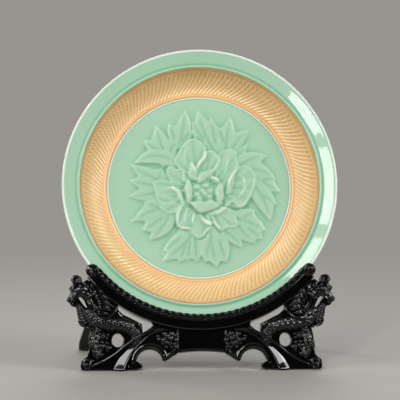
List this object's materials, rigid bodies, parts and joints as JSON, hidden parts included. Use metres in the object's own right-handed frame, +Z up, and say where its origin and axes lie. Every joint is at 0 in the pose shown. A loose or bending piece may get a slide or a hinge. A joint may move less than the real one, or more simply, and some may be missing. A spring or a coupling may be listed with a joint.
{
  "type": "display plate on folding stand",
  "caption": "Celadon relief plate with a gilt fluted cavetto, standing on a carved black folding easel stand with a beaded cradle.",
  "frame": {"origin": "on the floor, at the middle of the whole object's box", "axes": "+Z up, -Y out of the plate's face towards the viewer, +X to the viewer's right"},
  "size_m": [0.35, 0.1782, 0.3984],
  "materials": {
    "celadon_glaze": "clear pale green glaze, pooling darker in the relief",
    "gilt_enamel": "soft ochre gold with pale raised flutes",
    "black_lacquer": "gloss black lacquer over carved wood",
    "felt": "dark felt",
    "brass": "aged brass",
    "bare_wood": "unfinished hardwood"
  },
  "bodies": {
    "front_leaf": {"cradle_arc": "black_lacquer", "beaded_lip": "black_lacquer", "left_scroll_end": "black_lacquer", "right_scroll_end": "black_lacquer", "left_dragon": "black_lacquer", "right_dragon": "black_lacquer", "apron_board": "black_lacquer", "board_dowels": "bare_wood", "left_post": "black_lacquer", "right_post": "black_lacquer", "post_rail": "black_lacquer", "post_screws": "brass", "cradle_felts": "felt", "post_felts": "felt", "front_feet": "felt", "pivot_pins": "brass", "stop_pegs": "brass"},
    "plate": {"plate_body": "celadon_glaze", "gilt_band": "gilt_enamel", "leaf_sprigs": "celadon_glaze", "petal_sprigs": "celadon_glaze", "flower_heart": "celadon_glaze"},
    "rear_leaf": {"left_rear_leg": "black_lacquer", "right_rear_leg": "black_lacquer", "rear_top_rail": "black_lacquer", "rear_stretcher": "black_lacquer", "leaf_screws": "brass", "rear_feet": "felt"}
  },
  "joints": [
    {"name": "plate_lift", "type": "slide", "parent": "front_leaf", "child": "plate", "axis": [0, 0.2419, 0.9703], "range_m": [0, 0.22]},
    {"name": "stand_fold", "type": "hinge", "parent": "front_leaf", "child": "rear_leaf", "pos_m": [0, 0.02816, 0.22806], "axis": [1, 0, 0], "range_deg": [-26.5, 0]}
  ]
}
